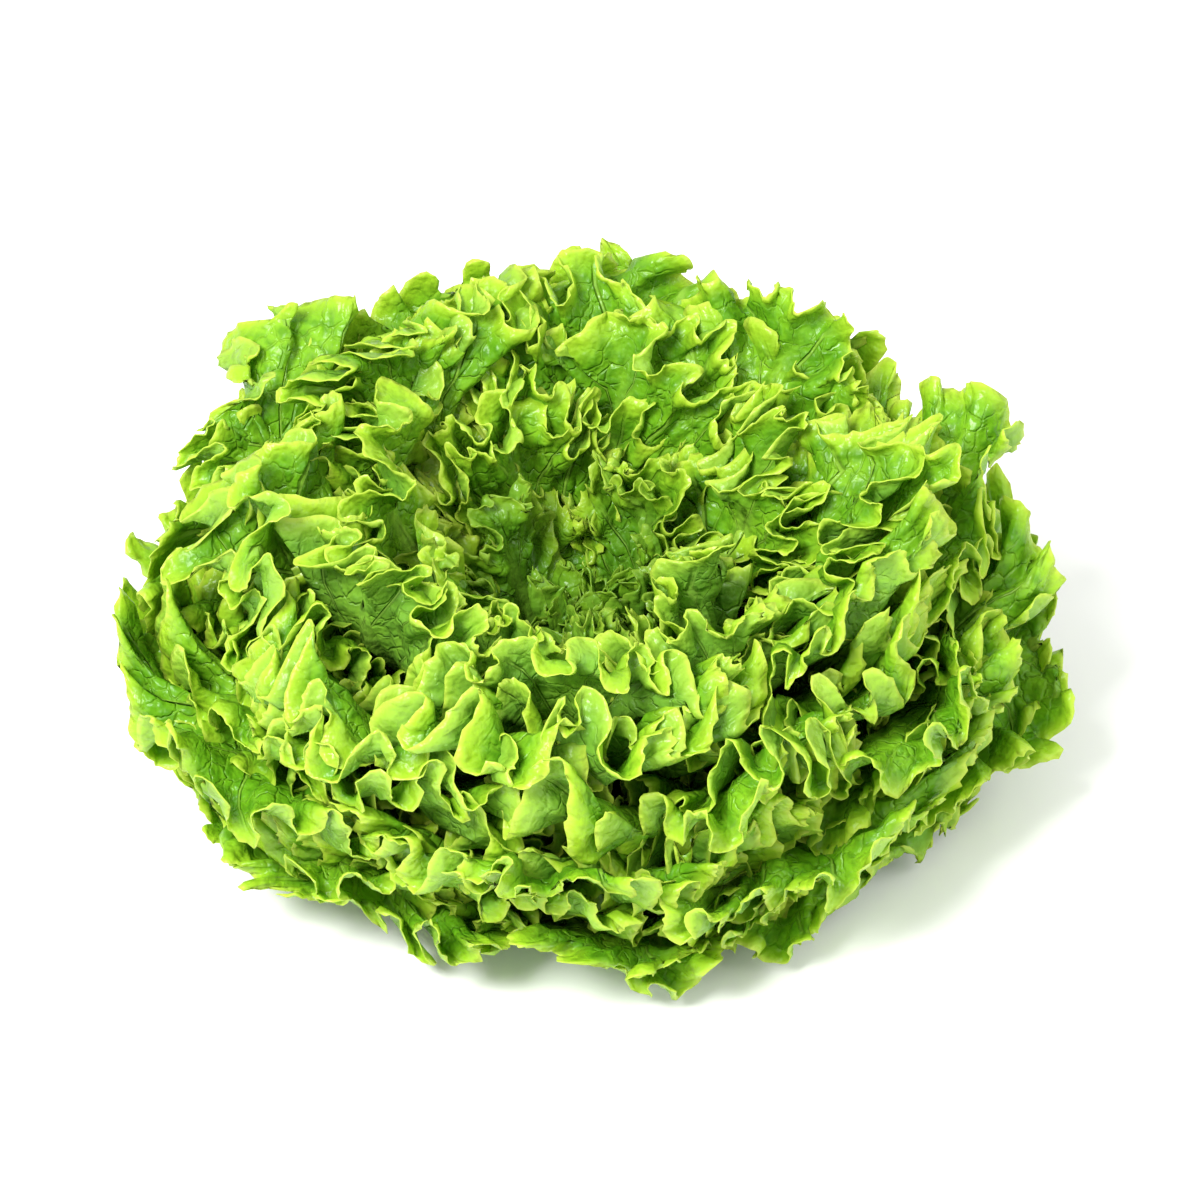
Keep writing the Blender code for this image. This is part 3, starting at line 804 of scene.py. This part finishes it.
view = {"elevation": 45.0, "distance": 2.5, "lens": 220.0, "aim": (0.0023, 0.0, 0.0837)}
lamps = (
    {"name": "softKey", "spot": (-0.9, -0.9, 1.9), "size": 0.8, "watts": 75},
    {"name": "softFill", "spot": (1.4, -0.2, 1.2), "size": 1.4, "watts": 14},
)
surroundings = {"floor": "#fbfbfa", "floorHalf": 4, "sky": 0.8, "lampAim": (0, 0, 0.06)}


def studio():
    # Pale floor, bright surroundings, a large soft light from above the camera's left and a weak one
    # from its right.
    scene = bpy.context.scene
    floorMesh = bpy.data.meshes.new("studioFloor")
    half = surroundings["floorHalf"]
    corners = [(-half, -half, 0), (half, -half, 0), (half, half, 0), (-half, half, 0)]
    floorMesh.from_pydata(corners, [], [(0, 1, 2, 3)])
    paint = bpy.data.materials.new("paleFloorPaint")
    paint.use_nodes = True
    coat = paint.node_tree.nodes["Principled BSDF"]
    coat.inputs["Base Color"].default_value = linear(surroundings["floor"])
    coat.inputs["Roughness"].default_value = 0.85
    floorMesh.materials.append(paint)
    floor = bpy.data.objects.new("studioFloor", floorMesh)
    scene.collection.objects.link(floor)
    world = bpy.data.worlds.new("studioWorld")
    world.use_nodes = True
    sky = world.node_tree.nodes["Background"]
    sky.inputs["Color"].default_value = (1, 1, 1, 1)
    sky.inputs["Strength"].default_value = surroundings["sky"]
    scene.world = world
    for lamp in lamps:
        glow = bpy.data.lights.new(lamp["name"], "AREA")
        glow.size = lamp["size"]
        glow.energy = lamp["watts"]
        light = bpy.data.objects.new(lamp["name"], glow)
        light.location = lamp["spot"]
        light.rotation_mode = "QUATERNION"
        towards = Vector(surroundings["lampAim"]) - Vector(lamp["spot"])
        light.rotation_quaternion = towards.to_track_quat("-Z", "Y")
        scene.collection.objects.link(light)
    scene.view_settings.view_transform = "Standard"
    tilt = math.radians(view["elevation"])
    back = Vector((0, -math.cos(tilt), math.sin(tilt)))
    lens = bpy.data.cameras.new("photoCamera")
    lens.lens = view["lens"]
    lens.clip_start = 0.05
    camera = bpy.data.objects.new("photoCamera", lens)
    camera.location = Vector(view["aim"]) + back * view["distance"]
    camera.rotation_mode = "QUATERNION"
    camera.rotation_quaternion = (-back).to_track_quat("-Z", "Y")
    scene.collection.objects.link(camera)
    scene.camera = camera


studio()
print("studio ready")

bladeFinish = leafFinish("freshLettuceBlade")
grow = fleshTree()
pieces = []
for rank in range(head["firstRank"], head["lastRank"] + 1):
    node = f"leaf_{rank - head['firstRank'] + 1:02d}"
    values = {
        "Blister Height": flesh["blisterHeight"], "Blister Size": flesh["blisterSize"],
        "Seed": rank * 0.37, "Finish": bladeFinish,
    }
    sheets = [leafSheet(Leaf(rank, rank), leafRows)]
    for lobe in lobes:
        if lobe["first"] <= rank <= lobe["last"]:
            sheets.append(leafSheet(Leaf(rank + lobe["rank"], rank, lobe), lobeRows))
    mesh = sheetMesh(node, sheets)
    piece = fleshed("frilled" + node.replace("leaf_", "Leaf"), mesh, grow, values)
    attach(piece, "root")
    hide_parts(node)
    pieces.append(piece)
print("leaves grown", sum(len(piece.data.polygons) for piece in pieces))

curlRows = [(0, 25), (0.2, 25), (0.4, 49)] + [(x, 129) for x in (0.55, 0.68, 0.78)]
curlRows += [(x, 257) for x in (0.86, 0.93, 1.0)]
heartFill = {"curls": 10, "firstRank": -2.0, "step": 0.4, "reach": 0.95}  # small leaves between the curls
heartFlesh = {"Blister Height": 0.0004, "Blister Size": 0.005, "Seed": 7.0, "Finish": bladeFinish}
curls = []
for i, rank in enumerate(head["heartRanks"]):
    curls.append(leafSheet(Leaf(rank, i - len(head["heartRanks"])), curlRows))
for i in range(heartFill["curls"]):
    small = Leaf(heartFill["firstRank"] + heartFill["step"] * i, 60 + i)
    small.reach *= heartFill["reach"]
    curls.append(leafSheet(small, curlRows))
heart = fleshed("heartCurls", sheetMesh("heartCurls", curls), grow, heartFlesh)
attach(heart, "root")
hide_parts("heart")
print("heart curled", len(heart.data.polygons))

stem = stemPiece(stemFinish("cutLettuceStem"))
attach(stem, "root")
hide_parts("stem")
print("stem turned")
